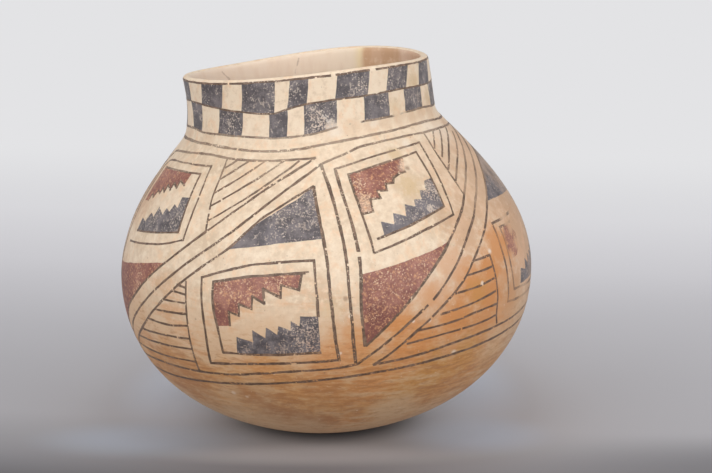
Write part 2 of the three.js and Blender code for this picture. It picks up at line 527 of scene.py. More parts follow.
# The lines of the section in front, each a list of strokes
FRONT_LINES = {
    "stripe_top": [
        [(-79.5, 124), (-74, 133.5), (-69, 142), (-61.5, 151), (-53, 162.5), (-44, 174),
         (-33.5, 188.5), (-17.5, 208.3), (-7.5, 217.7), (2.7, 226)],
    ],
    "stripe_middle": [
        [(-81.5, 114.5), (-69, 133), (-61.3, 142.4), (-50.6, 155.8), (-38.5, 171.4), (-25, 188.5),
         (-15, 201.7), (-5, 213), (4.7, 222)],
    ],
    "stripe_low": [
        [(-77.5, 113), (-66.7, 127), (-61, 133.2), (-51.5, 145.8), (-47, 152), (-41.3, 160),
         (-32.6, 171.3), (-25.6, 180), (-20, 189), (-15, 196.3), (-5, 205.8), (1.3, 210.7)],
    ],
    "shoulder_line": [
        [(4.7, 222), (8, 223.8), (14.5, 226.3), (22, 229), (38, 230), (60, 229), (76, 227.7),
         (92.5, 226)],
    ],
    "foot_line": [
        [(-77.5, 113), (-57.5, 116.5), (-40, 116.8), (-27, 117.7), (-17, 119.6), (-7.6, 121.2),
         (3.1, 122), (8.3, 123.5)],
    ],
    "upright_left": [
        [(1.3, 210.5), (1.7, 184), (2.1, 166), (2.5, 148), (3, 135), (3.6, 126.3)],
    ],
    "upright_middle": [
        [(4.8, 221.2), (6.4, 210), (6.9, 194), (7, 178), (7, 164), (7.2, 149), (7.5, 136),
         (8, 123.6)],
    ],
    "upright_right": [
        [(9.6, 218.6), (10.3, 202), (10.6, 186), (10.5, 170), (9.9, 155), (9.9, 144), (10.5, 133)],
    ],
    "low_panel": [
        [(-1.1, 148.8), (-1.2, 158), (-1.4, 167), (-1.5, 174.3)],
        [(-1.5, 174.3), (-9.4, 174), (-18.6, 172.4), (-26, 169.2), (-33.1, 165.4)],
        [(-33.1, 165.4), (-32.6, 153), (-32.2, 140.5), (-32.6, 123.2)],
        [(-32.6, 123.2), (-22, 124.6), (-7.3, 125.8), (3.4, 126.4)],
    ],
    "low_panel_inner": [
        [(-3.2, 168.8), (-8, 168.5), (-20.3, 166.8), (-29.2, 163.8)],
        [(-29.2, 163.8), (-29.3, 157), (-28.8, 149), (-28.2, 143.5), (-27.6, 130)],
        [(-27.6, 130), (-16, 130), (-1.1, 130.9)],
    ],
    "high_panel": [
        [(9.6, 218.8), (23, 222.1), (36, 223.8), (48.6, 224.8)],
        [(48.6, 224.8), (47.5, 214.5), (45.6, 201), (43.2, 186.9)],
        [(43.2, 186.9), (29, 181.8), (14.7, 175.8)],
        [(14.7, 175.8), (14.3, 189), (14.1, 201), (13.8, 215)],
        [(13.8, 215), (26.7, 217.7), (44, 220.3)],
        [(44, 220.3), (43.2, 206), (41.5, 191.4)],
        [(41.5, 191.4), (30, 187), (16.6, 182)],
    ],
    "hatch_low_post": [[(-38.3, 162.5), (-38, 153), (-38, 130), (-38.1, 118)]],
    "hatch_low": [
        [(-41.5, 160.3), (-38.4, 159.6)],
        [(-43.2, 157.2), (-38.3, 156.4)],
        [(-46.9, 152.2), (-38.2, 152.3)],
        [(-51.2, 146.2), (-38, 147.2)],
        [(-55.6, 140.3), (-46.3, 140), (-38.2, 141.3)],
        [(-61.2, 133), (-38.1, 134.9)],
        [(-66, 127.3), (-38.1, 129.4)],
        [(-70.5, 121), (-38.2, 122.5)],
    ],
    "hatch_high_post": [[(-34.4, 228.1), (-34.1, 217), (-34.5, 206), (-34.1, 196.3), (-33.9, 188)]],
    "hatch_high": [
        [(-33.6, 223), (-29, 227.4)],
        [(-33.7, 217), (-24.2, 226.2)],
        [(-34, 209.5), (-17.1, 225.9)],
        [(-34, 202.3), (-9.4, 225.6)],
        [(-33.5, 194.3), (-3.4, 225)],
    ],
}

# The lines that the painter drew otherwise in the sections to the right and to the left
RIGHT_LINES = {
    "stripe_top": [
        [(10.8, 132.8), (16, 141), (22.8, 152), (30, 164.3), (37.2, 175.2), (43, 182.7),
         (56, 198), (65.2, 206.4), (79.7, 218), (92.7, 226)],
    ],
    "stripe_middle": [
        [(8.5, 123.6), (15.2, 132), (22.5, 141.8), (30, 151.7), (37.3, 163.7), (44.3, 175.6),
         (51, 184.2), (56.2, 190.4), (70.3, 203.7), (81.5, 212.8), (94.7, 222)],
    ],
    "stripe_low": [
        [(12.8, 122.2), (17.5, 127.7), (23.6, 135.8), (28.2, 141.8), (34.8, 150.5),
         (39.7, 157.2), (46.4, 168.2), (52.2, 176.3), (60.7, 187), (67.8, 194.3), (77.5, 203.6),
         (91.4, 211.7)],
    ],
    "foot_line": [
        [(12.8, 122.2), (22.5, 123.8), (30.3, 125.6), (38, 127), (54, 128.4), (62.3, 128.8),
         (76, 129.3), (91, 128.6), (98.2, 129.2)],
    ],
    "low_panel": [
        [(88.8, 155.5), (88.7, 168), (88.6, 181)],
        [(88.6, 181), (80, 180.5), (73.4, 179), (57.3, 177.9)],
        [(57.3, 177.9), (57.3, 166), (57.9, 154.4), (58.4, 142), (58.2, 138.9)],
        [(58.2, 138.9), (63.4, 138), (74.7, 137), (93.6, 136.5)],
    ],
    "low_panel_inner": [
        [(86.8, 175.5), (76, 175.5), (60.5, 175)],
        [(60.5, 175), (60.4, 160), (60.7, 154.2), (61.9, 143.6)],
        [(61.9, 143.6), (65.7, 143.3), (74.7, 141.5), (88.9, 141)],
    ],
    "hatch_low_post": [[(51, 164.8), (51.8, 155), (52.6, 144.8), (52.6, 134.6), (53.4, 130)]],
    "hatch_low": [
        [(44.3, 164.2), (51, 164.8)],
        [(40.7, 158.5), (46, 158.7), (50.8, 159.1)],
        [(36.2, 151.4), (43.6, 151.9), (51.2, 153.2)],
        [(31.5, 143), (41, 144.5), (51.6, 146.8)],
        [(25, 137), (36.6, 138.3), (44, 139.8), (52.4, 140.3)],
        [(21.8, 131.2), (30, 132.6), (46, 133.6), (52.6, 134.6)],
    ],
    "hatch_high_post": [[(54.8, 228.1), (53.2, 216.3), (52.4, 205.2), (52.1, 194.9)]],
    "hatch_high": [
        [(54.2, 219.4), (61.6, 228.1)],
        [(54.8, 214.1), (67.7, 227.5)],
        [(53, 207.1), (62.2, 216.4), (75.7, 226.6)],
        [(52.7, 201.1), (59.8, 208.1), (79.4, 222.9)],
    ],
}
LEFT_LINES = {
    "shoulder_line": [
        [(-85.3, 222), (-82, 224.5), (-78.5, 227.8), (-62, 229.5), (-46, 230), (-33.4, 228.2),
         (-23.3, 226.9), (-11.6, 226.2), (2.7, 226)],
    ],
    "high_panel": [
        [(-80.3, 218.6), (-76, 222.8), (-60, 223.9), (-41, 223.7)],
        [(-41, 223.7), (-40.4, 207.8), (-41.9, 182.3)],
        [(-41.9, 182.3), (-51.3, 178.1), (-73.4, 173.3)],
        [(-76.4, 218.7), (-60, 219.5), (-44.7, 219.1)],
        [(-44.7, 219.1), (-44.6, 206.4), (-44.8, 186)],
        [(-44.8, 186), (-57, 183), (-69.4, 180.7)],
    ],
}

# Filled shapes of the section in front, and those drawn otherwise to the right and to the left
FRONT_BLACK = {
    "triangle": [
        (1.4, 210.7), (-4.3, 204.8), (-10.5, 199.4), (-16.4, 193.8), (-22, 186.5), (-25.4, 179.7),
        (-21.9, 180.4), (-10.8, 182.8), (1.8, 184.3),
    ],
    "low_steps": [
        (-23.4, 130.2), (-22.9, 138.6), (-18.4, 136.3), (-18.4, 142.3), (-15, 138.5),
        (-14.6, 143.8), (-11.8, 140.2), (-11.3, 144.5), (-8.3, 142.4), (-8.1, 146.8),
        (-5.9, 144.3), (-5.6, 149), (-1.1, 148.8), (-1, 130.9), (-12, 130.4),
    ],
    "high_steps": [
        (16.5, 182), (18.8, 183.5), (19, 189.6), (22.7, 187.7), (23.6, 192.8), (27.2, 190.5),
        (28.5, 196), (31.6, 194), (32.4, 197.3), (34.8, 196.8), (36, 201), (38.3, 200.5),
        (39.6, 205), (42.8, 205.4), (41.5, 191.4), (30, 187),
    ],
}
FRONT_RED = {
    "triangle": [
        (10.6, 166.4), (19.3, 169.2), (26.9, 171.6), (34.7, 174.3), (37.7, 175.9), (35.1, 171.6),
        (29.9, 164.1), (22.9, 152.6), (15.9, 141), (10.9, 133), (10.3, 133), (9.9, 144), (9.9, 155),
    ],
    "low_steps": [
        (-4.8, 168.4), (-20.3, 166.8), (-29.2, 163.8), (-28.8, 149), (-28.2, 143.3),
        (-24.4, 144), (-24.5, 150.7), (-21.6, 148.8), (-21.6, 154.4), (-18.1, 152.2),
        (-17.9, 158.3), (-14.7, 154.9), (-15, 161.8), (-10.4, 157.6), (-10.2, 163.4), (-5.6, 161),
    ],
    "high_steps": [
        (13.8, 215), (26.7, 217.5), (36.7, 218.7), (34.5, 211.5), (32, 211.2), (29, 209.5),
        (28.1, 207), (25.3, 207.2), (24.8, 203.9), (21.6, 204.4), (21.7, 200.7), (18.3, 200.9),
        (17.8, 194.8), (14.3, 194.3), (14.1, 205),
    ],
}
PANEL_RISE = 5.5
RIGHT_BLACK = {
    "triangle": [
        (91.4, 211.6), (77.5, 203.6), (67.8, 194.3), (61, 187.8), (64.8, 187.7), (79, 186.5),
        (91.5, 184.5),
    ],
    "low_steps": turned(FRONT_BLACK["low_steps"], 90, PANEL_RISE),
}
RIGHT_RED = {
    "low_steps": [
        (61.5, 158.5), (60.8, 166), (60.5, 172), (63, 175), (67.4, 174.4), (69.2, 169),
        (68.4, 162.5), (65.6, 159.2),
    ],
}
LEFT_BLACK = {
    "high_steps": [
        (-73.4, 180), (-69.4, 180.7), (-68.7, 188.5), (-65.3, 187.2), (-63.3, 193.1),
        (-60.6, 191.5), (-59.6, 197.8), (-55.6, 193.8), (-54.6, 198), (-52.3, 196.2), (-51, 201),
        (-48.8, 199), (-48.6, 205.4), (-44.6, 205.6), (-44.7, 195), (-44.8, 186), (-57, 183),
    ],
}
LEFT_RED = {
    "triangle": [
        (-79.5, 161), (-73, 162.2), (-61, 165.8), (-51, 168.7), (-47.7, 169.5), (-53, 162.4),
        (-61.4, 151), (-69, 142), (-74, 133.5), (-79.5, 124.5), (-80, 141),
    ],
    "high_steps": [
        (-76.3, 218.6), (-62, 219.3), (-49.9, 218.9), (-50.6, 212), (-54.4, 214.5), (-54.4, 210),
        (-57.8, 212.6), (-57.9, 208.3), (-61.5, 210.9), (-61.6, 206.3), (-64.3, 208.6),
        (-64.6, 204.7), (-67, 206.3), (-68.5, 201.3), (-71, 203.5), (-72, 198.5), (-75.6, 197.5),
        (-76, 208),
    ],
}

# Which sides of a red shape have a dark outline: from one corner to another, in drawing order
OUTLINED = {"triangle": (4, 13), "low_steps": (5, 16), "high_steps": (3, 15)}
RIGHT_OUTLINED = {**OUTLINED, "low_steps": (0, 0)}

# The four sections: how far round each stands, what is drawn otherwise there, and its outlines
SECTIONS = {
    "front": (0, {}, {}, {}, OUTLINED),
    "right": (90, RIGHT_LINES, RIGHT_BLACK, RIGHT_RED, RIGHT_OUTLINED),
    "back": (180, {}, {}, {}, OUTLINED),
    "left": (-90, LEFT_LINES, LEFT_BLACK, LEFT_RED, OUTLINED),
}

# Widths of the lines, by the first word of each line's name
LINE_WIDTHS = {
    "stripe": 1.2, "shoulder": 1.2, "foot": 1.25, "upright": 1.5, "low": 1.25, "high": 1.05,
    "hatch": 1.05, "outline": 1.1, "lip": 0.9, "middle": 0.8, "neck": 1, "ring": 1.3,
}


def drawn(front, others, turn):
    """The shapes of a section: the front's painted again a turn further round, some redrawn."""
    shapes = {key: turned(shape, turn) for key, shape in front.items()}
    shapes.update(others)
    return shapes


def section_pieces(name, black, red, line):
    """All the painting of one section."""
    turn, other_lines, other_black, other_red, outlined = SECTIONS[name]
    strokes = {key: [turned(side, turn) for side in sides] for key, sides in FRONT_LINES.items()}
    strokes.update(other_lines)
    black_shapes = drawn(FRONT_BLACK, other_black, turn)
    red_shapes = drawn(FRONT_RED, other_red, turn)
    lines = bmesh.new()
    for key, sides in strokes.items():
        for side in sides:
            brushed(lines, side, LINE_WIDTHS[key.split("_")[0]])
    for key, shape in red_shapes.items():
        start, end = outlined[key]
        corners = (shape + shape[:1])[start:end + 1]
        for side in zip(corners, corners[1:]):
            brushed(lines, side, LINE_WIDTHS["outline"])
    layer(lines, name + "_lines", LINE_LIFT, line)
    for shapes, lift, material, slot, ending in (
        (black_shapes, FILL_LIFT, black, "black_paint", "_black_fill"),
        (red_shapes, RED_LIFT, red, "red_paint", "_red_fill"),
    ):
        fill = bmesh.new()
        for outline in shapes.values():
            filled(fill, outline)
        cut_into_cells(fill)
        layer(fill, name + ending, lift, material)


# The neck: two rows of checks between thin lines, then a line on the crease. A side of a check
# is given by its places around at the top and at the bottom of its row.
TOP_ROW = [
    (-67.3, -68.2), (-53.3, -56), (-38.3, -41.5), (-27.7, -30.2), (-12, -14.4), (-5.3, -8.4),
    (2.9, 0.4), (15.6, 13), (31.3, 28.2), (41.6, 38.2), (54.8, 50.8), (65, 61.8), (78.6, 74.8),
]
LOW_ROW = [
    (-68.4, -65.4), (-56, -56.4), (-42.9, -43.9), (-29.2, -30.4), (-16.7, -16.8), (-8.3, -8.8),
    (-1, -1.3), (13.6, 12.9), (26.3, 25.7), (39.3, 38.9), (49.1, 48.7), (62.9, 62.6),
    (72.5, 73.8),
]
FURTHER_CHECKS = 18
CHECK_WANDER = 2.5
CHECK_SPACING = 1.37  # how far apart the wanders of two checks lie in their noise
CHECK_STEP = 3
LIP_LINE_RISE = 0.7
LIP_LINE_STEP = 5
LIP_LINE = [(around, LIP_START + LIP_LINE_RISE) for around in range(-90, 271, LIP_LINE_STEP)]
CHECK_MIDDLE = [
    (-68.4, 254.6), (-56, 253.8), (-42, 252.2), (-29.5, 250.6), (-16, 249.4), (-8.4, 250.9),
    (0, 252.4), (13.5, 253), (28, 252.9), (50, 252.9), (62, 252.3), (75, 251.8), (110, 252.6),
    (170, 251.5), (230, 253), (291.6, 254.6),
]
CHECK_FOOT = [
    (-65.5, 242), (-54, 240.6), (-43.5, 240.3), (-30, 239.4), (-16.8, 238.2), (-8.7, 238),
    (-1, 238.4), (5, 238.8), (13.5, 240.6), (25.5, 241.4), (39, 241.3), (49, 241.7), (62.4, 241.5),
    (80, 240), (130, 240.4), (190, 241.2), (250, 240.8), (294.5, 242),
]
CREASE_LINE = [
    (-69.7, 236), (-58.7, 235.6), (-47, 235.1), (-33, 233.4), (-21.3, 231.9), (-6.4, 231.5),
    (10.2, 233.2), (24.4, 234.1), (36, 234.4), (47.7, 234.8), (62.7, 234.4), (84, 232),
    (115, 231.5), (150, 233), (190, 234), (230, 233.4), (265, 235.4), (290.3, 236),
]
BASE_RING_HEIGHT = 115.7


def all_round(sides):
    """Carries a row of checks on round the back, to where it began."""
    start, end = sides[-1], tuple(side + 360 for side in sides[0])
    more = []
    for i in range(1, FURTHER_CHECKS):
        share = i / FURTHER_CHECKS
        wander = CHECK_WANDER * noise.noise(Vector((i * CHECK_SPACING, sides[0][0], 0)))
        more.append(tuple(a + (b - a) * share + wander for a, b in zip(start, end)))
    return sides + more + [end]


def height_at(line, around):
    """Height of a line round the neck at a place around."""
    around = (around - line[0][0]) % 360 + line[0][0]
    for (a0, h0), (a1, h1) in zip(line, line[1:]):
        if around <= a1:
            return h0 + (h1 - h0) * (around - a0) / (a1 - a0)
    return line[-1][1]


def check(bm, left, right, low, high):
    """A filled check between two slanting sides and two lines."""
    top = [(around, height_at(high, around)) for around in spaced(left[0], right[0], CHECK_STEP)]
    bottom = [(around, height_at(low, around)) for around in spaced(right[1], left[1], CHECK_STEP)]
    filled(bm, top + bottom)


def neck_pieces(black, line):
    """The checks and lines of the neck, and the two rings that go all round the jar."""
    checks = bmesh.new()
    for row, first, low, high in (
        (TOP_ROW, 1, CHECK_MIDDLE, LIP_LINE),
        (LOW_ROW, 0, CHECK_FOOT, CHECK_MIDDLE),
    ):
        sides = all_round(row)
        for i in range(first, len(sides) - 1, 2):
            check(checks, sides[i], sides[i + 1], low, high)
    cut_into_cells(checks)
    layer(checks, "neck_checks", FILL_LIFT, black)
    lines = bmesh.new()
    brushed(lines, LIP_LINE, LINE_WIDTHS["lip"])
    brushed(lines, CHECK_MIDDLE, LINE_WIDTHS["middle"])
    brushed(lines, CHECK_FOOT, LINE_WIDTHS["neck"])
    layer(lines, "neck_lines", LINE_LIFT, line)
    rings = bmesh.new()
    brushed(rings, CREASE_LINE, LINE_WIDTHS["ring"])
    brushed(rings, tipped_ring(BASE_RING_HEIGHT), LINE_WIDTHS["ring"])
    layer(rings, "ring_lines", LINE_LIFT, line)


# Finishes

def rgb(red, green, blue):
    """A colour given as it shows on a screen, 0 to 255, in the renderer's linear values."""
    def linear(value):
        share = value / 255
        return share / 12.92 if share <= 0.04045 else ((share + 0.055) / 1.055) ** 2.4
    return (linear(red), linear(green), linear(blue), 1)


# A mark grows from nothing to its full strength between these shares of its radius
MARK_EDGE = (1.15, 0.25)


class Finish:
    """A procedural material in the making: each call adds a node and returns its output."""

    def __init__(self, name):
        self.material = bpy.data.materials.new(name)
        self.material.use_nodes = True
        self.tree = self.material.node_tree
        self.shader = self.tree.nodes["Principled BSDF"]
        self.ragged_noise = None
        coordinates = self.tree.nodes.new("ShaderNodeTexCoord").outputs["Object"]
        self.place = self.vector("SCALE", coordinates, scale=1 / MM)
        parts = self.tree.nodes.new("ShaderNodeSeparateXYZ")
        self.feed(parts.inputs[0], self.place)
        self.x, self.y, self.height = parts.outputs

    def feed(self, socket, value):
        if isinstance(value, bpy.types.NodeSocket):
            self.tree.links.new(value, socket)
        else:
            socket.default_value = value

    def math(self, operation, first, second=0.0, clamp=False):
        node = self.tree.nodes.new("ShaderNodeMath")
        node.operation = operation
        node.use_clamp = clamp
        self.feed(node.inputs[0], first)
        self.feed(node.inputs[1], second)
        return node.outputs[0]

    def times(self, first, second):
        return self.math("MULTIPLY", first, second)

    def plus(self, first, second):
        return self.math("ADD", first, second)

    def less(self, first, second):
        return self.math("SUBTRACT", first, second)

    def centred(self, grain):
        """Noise moved to lie about zero."""
        return self.less(grain, 0.5)

    def vector(self, operation, first, second=(0, 0, 0), scale=1.0):
        node = self.tree.nodes.new("ShaderNodeVectorMath")
        node.operation = operation
        self.feed(node.inputs[0], first)
        self.feed(node.inputs[1], second)
        self.feed(node.inputs[3], scale)
        wants_value = operation in ("LENGTH", "DISTANCE", "DOT_PRODUCT")
        return node.outputs["Value" if wants_value else "Vector"]

    def grain(self, size, detail, roughness=0.55, stretch=(1, 1, 1), shift=0.0):
        """Noise with marks about size millimetres across."""
        node = self.tree.nodes.new("ShaderNodeTexNoise")
        place = self.vector("MULTIPLY", self.place, stretch)
        place = self.vector("ADD", place, (shift * 31, shift * 17, shift * 53))
        self.feed(node.inputs["Vector"], place)
        node.inputs["Scale"].default_value = 1 / size
        node.inputs["Detail"].default_value = detail
        node.inputs["Roughness"].default_value = roughness
        return node.outputs["Fac"]

    def span(self, value, low, high, start=0.0, end=1.0):
        """Takes low..high to start..end, smoothly and no further."""
        node = self.tree.nodes.new("ShaderNodeMapRange")
        node.interpolation_type = "SMOOTHSTEP"
        self.feed(node.inputs["Value"], value)
        node.inputs["From Min"].default_value = low
        node.inputs["From Max"].default_value = high
        node.inputs["To Min"].default_value = start
        node.inputs["To Max"].default_value = end
        return node.outputs["Result"]

    def ramp(self, share, stops):
        """Colours along a share of 0 to 1, each given with its place."""
        node = self.tree.nodes.new("ShaderNodeValToRGB")
        self.feed(node.inputs["Fac"], share)
        elements = node.color_ramp.elements
        while len(elements) < len(stops):
            elements.new(1.0)
        for element, (place, colour) in zip(elements, stops):
            element.position = place
            element.color = colour
        return node.outputs["Color"]

    def mixed(self, share, under, over):
        """Colour over laid on colour under by a share."""
        node = self.tree.nodes.new("ShaderNodeMix")
        node.data_type = "RGBA"
        self.feed(node.inputs[0], share)
        self.feed(node.inputs[6], under)
        self.feed(node.inputs[7], over)
        return node.outputs[2]

    def layered(self, colour, layers):
        """A colour with others laid on it one after another, each by its share."""
        for share, over in layers:
            colour = self.mixed(share, colour, over)
        return colour

    def ragged(self):
        """The noise that leaves the edges of all marks ragged."""
        if self.ragged_noise is None:
            self.ragged_noise = self.centred(self.grain(5, detail=5, roughness=0.65, shift=6))
        return self.ragged_noise

    def marks(self, places, raggedness=1.8):
        """The strongest of several round marks: around, along, radius, strength."""
        edge = self.times(self.ragged(), raggedness)
        most = 0.0
        for around, along, radius, strength in places:
            away = self.vector("DISTANCE", self.place, tuple(on_wall(around, along)))
            away = self.plus(self.math("DIVIDE", away, radius), edge)
            most = self.math("MAXIMUM", self.span(away, *MARK_EDGE, 0, strength), most)
        return most

    def stroke(self, start, end, width, waver):
        """1 along a straight stroke between two points, width millimetres wide, wavering."""
        start, way = Vector(start), Vector(end) - Vector(start)
        offset = self.vector("SUBTRACT", self.place, tuple(start))
        share = self.vector("DOT_PRODUCT", offset, tuple(way / way.length_squared))
        share = self.math("ADD", share, 0, clamp=True)
        nearest = self.vector("SCALE", tuple(way), scale=share)
        away = self.vector("DISTANCE", offset, nearest)
        bend = self.centred(self.grain(4, detail=2, shift=2.2))
        away = self.math("ABSOLUTE", self.plus(away, self.times(bend, waver)))
        return self.span(away, width * 0.3, width * 0.8, 1, 0)

    def hairlines(self, size, width, stretch=(1, 1, 1), shift=0.0):
        """1 along thin wandering lines, as scratches run, width in shares of the noise."""
        away = self.centred(self.grain(size, detail=2, stretch=stretch, shift=shift))
        away = self.math("ABSOLUTE", away)
        where = self.span(self.grain(size * 1.6, detail=2, shift=shift + 5), 0.52, 0.6)
        return self.times(self.span(away, 0, width, 1, 0), where)

    def coloured(self, colour, roughness):
        self.feed(self.shader.inputs["Base Color"], colour)
        self.feed(self.shader.inputs["Roughness"], roughness)

    def bumped(self, height, depth):
        """Raises the surface by height shares of a depth in millimetres."""
        node = self.tree.nodes.new("ShaderNodeBump")
        node.inputs["Distance"].default_value = depth * MM
        self.feed(node.inputs["Height"], height)
        self.feed(self.shader.inputs["Normal"], node.outputs["Normal"])


# Colours of the slip and the clay
CREAM = rgb(234, 210, 182)
CREAM_DIM = rgb(216, 190, 160)
CREAM_PALE = rgb(246, 226, 200)
CREAM_PEACH = rgb(238, 200, 162)
NECK_CREAM = rgb(243, 220, 192)
YELLOWED = rgb(215, 185, 143)
TAN = rgb(222, 186, 150)
OCHRE = rgb(212, 156, 100)
OCHRE_DARK = rgb(180, 124, 80)
BUFF = rgb(220, 184, 144)
PINK = rgb(220, 176, 140)
ORANGE = rgb(214, 146, 88)
GOLD = rgb(206, 148, 78)
BROWN_AND_SIDE_SHADE = rgb(196, 158, 124)
PORE = rgb(150, 118, 96)
CHALK = rgb(248, 234, 216)

# Marks on the slip: around, along, radius, strength
PINK_CLOUDS = [
    (58, 190, 30, 0.6), (72, 165, 40, 1), (52, 208, 22, 0.3), (75, 205, 34, 0.6),
    (45, 178, 17, 0.8), (31, 152, 14, 1), (38, 163, 15, 1), (24, 140, 14, 0.7), (-75, 200, 20, 0.4),
]
ORANGE_CLOUDS = [
    (43, 152, 15, 1), (37, 138, 19, 1), (24, 129, 22, 1), (56, 167, 15, 0.9), (9, 134, 15, 0.8),
    (2, 126, 18, 0.8), (14, 112, 24, 0.6), (38, 116, 26, 0.7), (58, 134, 20, 0.6),
    (-18, 122, 12, 0.4), (50, 158, 14, 1), (49, 146, 16, 1), (46, 134, 16, 0.9), (20, 141, 12, 1),
    (28, 151, 9, 0.5), (55, 152, 10, 0.7),
]
# Brown fire clouds. Those at 80 to 90 degrees either way are also painted shade, darkening both
# sides of the jar where the wall turns from the light.
BROWN_CLOUDS_AND_SIDE_SHADE = [
    (80, 185, 26, 0.8), (88, 160, 30, 0.9), (72, 172, 16, 0.6), (85, 135, 26, 0.8),
    (61, 141, 13, 0.8), (45, 177, 10, 0.4), (39, 186, 8, 0.5), (70, 120, 20, 0.6),
    (66, 194, 20, 0.5), (58, 212, 14, 0.3), (50, 186, 12, 0.5), (88, 215, 22, 0.5),
    (-84, 200, 24, 0.6), (-88, 160, 30, 0.6),
]
GOLD_CLOUDS = [(32, 110, 18, 0.8), (42, 117, 16, 0.7), (24, 103, 14, 0.6), (44, 150, 9, 0.5)]
DARK_CLOUDS = [
    (-22, 103, 16, 0.7), (-48, 108, 24, 0.6), (0, 108, 20, 0.35), (-17, 88, 18, 1),
    (-6, 80, 15, 0.9), (6, 90, 12, 0.2),
]
BUFF_CLOUDS = [
    (22, 86, 17, 0.7), (-30, 84, 20, 0.4), (55, 116, 14, 0.4), (66, 128, 18, 0.4),
    (-31, 106, 9, 0.6), (-20, 111, 9, 0.5),
]
YELLOW_STAINS = [
    (33, 204, 8, 1), (27, 210, 6, 0.7), (34, 222, 5, 0.9), (2, 152, 6, 0.5), (57, 256, 7, 0.8),
    (70, 246, 5, 0.8), (42, 246, 5, 0.5), (30, 206, 5, 0.6),
]
TAN_STAINS = [
    (12, 238, 5, 0.3), (20, 239, 6, 0.4), (28, 239, 6, 0.5), (36, 239, 6, 0.5), (44, 239, 6, 0.5),
    (52, 239, 6, 0.6), (60, 239, 7, 0.6), (70, 238, 8, 0.6), (-50, 238, 5, 0.3), (-70, 238, 6, 0.5),
]
SCUFFS = [
    (51.4, 166.5, 1.6, 0.7), (46, 152.7, 1.4, 0.7), (23.3, 142.2, 1.2, 0.7), (28, 141, 1.2, 0.6),
    (12, 238.6, 4, 0.6), (30, 239.8, 3, 0.5), (-29, 105, 1.6, 0.4), (-25, 103, 1.2, 0.3),
    (37, 121, 2, 0.6), (7, 148, 1.2, 0.6), (4, 130, 1.2, 0.6), (42, 226, 3, 0.5),
    (8, 247, 2, 1), (6.5, 250, 1.4, 0.8), (9, 244, 1.3, 0.9), (61, 229, 9, 0.35),
    (69, 226, 9, 0.35),
]
BROWN_SPOTS = [(-11, 193, 1.6, 0.5), (6, 156, 1.4, 0.6), (2, 159, 1.2, 0.6), (36, 213, 1.8, 0.7)]

# Heights on the jar between which one tone of the slip passes into the next, and how far they
# drift up and down round it
NECK_TONE = (146, 166)
TAN_TONE = (98, 58)
OCHRE_TONE = (62, 46)
FOOT_TONE = (34, 12)
ORANGE_CLOUDING = (120, 70)
LEVEL_STROKES = (66, 48)
BURNISH_STROKES = (84, 58)
TONE_DRIFT = 60

# Roughness of each finish, and how deep its relief is in millimetres
SLIP_ROUGHNESS = 0.52
INSIDE_ROUGHNESS = 0.65
BLACK_ROUGHNESS = 0.5
RED_ROUGHNESS = 0.55
FLOOR_ROUGHNESS = 0.8
SLIP_RELIEF = 0.12
INSIDE_RELIEF = 0.15
PAINT_RELIEF = 0.03

# Colours of the paint
BLACK = rgb(86, 79, 81)
BLACK_FADED = rgb(127, 118, 118)
BLACK_SCUFFED = rgb(176, 168, 168)
# a bluish grey: faded black, and a painted sheen on it
BLACK_GREYED_AND_SHEEN = rgb(132, 126, 130)
LINE_BLACK = rgb(98, 76, 61)
LINE_FADED = rgb(144, 116, 96)
RED = rgb(138, 85, 75)
RED_FADED = rgb(172, 118, 102)
RED_DEEP = rgb(122, 72, 65)
RED_STAIN = rgb(216, 160, 116)

# Where the paint is rubbed off, greyed, deep, or so thin that the slip shows: around, along,
# radius, strength
RUBBED_BLACK = [
    (-4, 138.6, 13, 1), (-9, 133, 9, 0.7), (-1, 199, 12, 0.7), (-8, 196, 8, 0.5),
    (40, 199, 8, 1.2), (36.5, 192, 3, 2.4), (5, 245, 9, 0.8), (11.5, 240, 6, 1.4),
    (26, 257, 5, 0.9), (-40, 247, 6, 0.5), (-60, 190, 9, 0.4), (-11, 258, 6, 0.8),
    (-8, 253, 5, 0.7), (60, 246, 6, 0.5),
]
RUBBED_RED = [
    (-20, 157, 9, 0.9), (-13, 160, 8, 0.7), (-9, 166, 5, 0.6), (16.5, 200, 7, 1.1),
    (16, 209, 5, 0.8), (36, 215, 4.5, 2), (20, 160, 12, 0.6), (14, 150, 9, 0.5), (28, 168, 9, 0.5),
    (76, 172, 17, 2.4), (62, 152, 8, 2), (-62, 152, 14, 0.6),
]
RUBBED_LINES = RUBBED_BLACK[:1]
# Greyed black: faded paint, and a painted bluish sheen on the burnished black
GREYED_BLACK_AND_SHEEN = [(24, 188, 12, 0.5), (34, 196, 10, 0.5), (-12, 187, 8, 0.3)]
DEEP_RED = [
    (14, 144, 14, 0.8), (11, 160, 8, 0.5), (-72, 148, 20, 0.8), (-28, 150, 7, 0.6),
    (-58, 210, 12, 0.5),
]
THIN_BLACK = [
    (90, 196, 24, 0.5), (78, 204, 14, 0.4), (80, 149, 14, 0.3), (37, 205, 6, 0.4),
    (11, 240.2, 4, 1.1),
]
THIN_RED = [
    (36, 214, 6, 0.6), (16, 197, 7, 0.4), (67, 173, 5, 0.9), (68, 164, 5, 0.9),
    (62, 159, 5, 0.9), (61, 174, 5, 0.7), (60.5, 167, 3, 0.6),
]
THIN_LINES = [
    (80, 179, 18, 1.2), (66, 178, 8, 0.9), (72, 175, 9, 1.2), (60, 168, 12, 0.5),
    (62, 150, 10, 0.4), (70, 139, 14, 0.7), (60, 140, 8, 0.5), (60, 196, 16, 0.5),
    (72, 210, 14, 0.4), (80, 129, 20, 0.4), (-62, 232, 20, 0.25), (-38, 232, 20, 0.28),
    (-14, 231, 20, 0.3), (10, 232, 20, 0.28), (34, 234, 18, 0.25), (58, 234, 18, 0.25),
    (16, 240.8, 4.5, 1.3), (21.5, 241.2, 4.5, 1.3), (43, 241.4, 4.5, 1), (47, 241.6, 3.5, 0.8),
]


